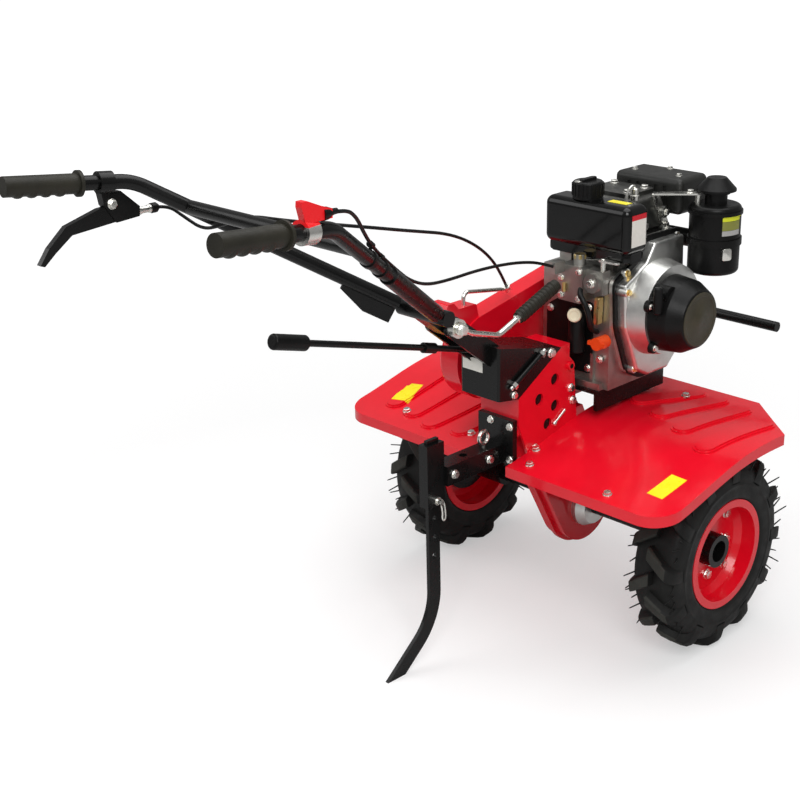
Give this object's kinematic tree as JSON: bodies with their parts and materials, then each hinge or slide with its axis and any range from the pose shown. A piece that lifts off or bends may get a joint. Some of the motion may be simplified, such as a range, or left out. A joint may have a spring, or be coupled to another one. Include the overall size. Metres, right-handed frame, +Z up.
{
  "type": "hand tractor",
  "caption": "Walk-behind diesel hand tractor on lugged wheels, with belt drive, gear case, fenders, adjustable handlebar and a drag stake to stand on.",
  "frame": {"origin": "on the floor below the middle of the overall length and width", "axes": "+X forward along the length, +Y to the operator's left, +Z up"},
  "size_m": [1.52, 0.85, 1.055],
  "materials": {
    "red_paint": "gloss",
    "black_paint": "gloss",
    "cast_aluminium": "satin",
    "zinc": "satin",
    "tyre_rubber": "matte",
    "grip_rubber": "matte",
    "black_plastic": "satin",
    "tank_plastic": "gloss",
    "orange_plastic": "gloss",
    "red_plastic": "gloss",
    "cable_sheath": "satin"
  },
  "bodies": {
    "chassis": {"gear_case": "red_paint", "frame_plate_left": "red_paint", "frame_plate_right": "red_paint", "fender_left": "red_paint", "fender_right": "red_paint", "belt_cover": "red_paint", "handle_bracket": "black_paint", "shift_lever": "black_paint", "hitch": "black_paint", "engine_mount": "black_paint", "front_bar": "black_paint", "muffler": "black_paint", "axle_flanges": "cast_aluminium", "engine_block": "cast_aluminium", "cylinder_head": "cast_aluminium", "fan_shroud": "cast_aluminium", "injection_pump": "cast_aluminium", "pivot_bolt": "zinc", "clamp_lever": "zinc", "eye_bolt": "zinc", "stake_pin": "zinc", "cable_stay": "zinc", "clamp_grip": "grip_rubber", "shift_knob": "black_plastic", "recoil_starter": "black_plastic", "air_cleaner": "black_plastic", "fuel_cap": "black_plastic", "fuel_filter": "black_plastic", "fuel_tank": "tank_plastic", "oil_filler": "orange_plastic"},
    "wheel_left": {"tyre_left": "tyre_rubber", "rim_left": "red_paint", "hub_left": "black_paint"},
    "wheel_right": {"tyre_right": "tyre_rubber", "rim_right": "red_paint", "hub_right": "black_paint"},
    "handlebar": {"handlebar_yoke": "black_paint", "handlebar_left": "black_paint", "handlebar_right": "black_paint", "handlebar_crossbar": "black_paint", "grip_left": "grip_rubber", "grip_right": "grip_rubber", "clutch_lever": "black_paint", "throttle_control": "red_plastic", "clutch_cable": "cable_sheath", "throttle_cable": "cable_sheath"},
    "stake": {"drag_stake": "black_paint"}
  },
  "joints": [
    {"name": "wheel_left_spin", "type": "hinge", "parent": "chassis", "child": "wheel_left", "pos_m": [0.345, 0.332, 0.2], "axis": [0, 1, 0], "continuous": true},
    {"name": "wheel_right_spin", "type": "hinge", "parent": "chassis", "child": "wheel_right", "pos_m": [0.345, -0.332, 0.2], "axis": [0, 1, 0], "continuous": true},
    {"name": "handlebar_tilt", "type": "hinge", "parent": "chassis", "child": "handlebar", "pos_m": [-0.055, 0, 0.69], "axis": [0, 1, 0], "range_deg": [-12, 20], "deforming": ["clutch_cable", "throttle_cable"]},
    {"name": "stake_slide", "type": "slide", "parent": "chassis", "child": "stake", "axis": [0, 0, 1], "range_m": [0, 0.12]}
  ]
}
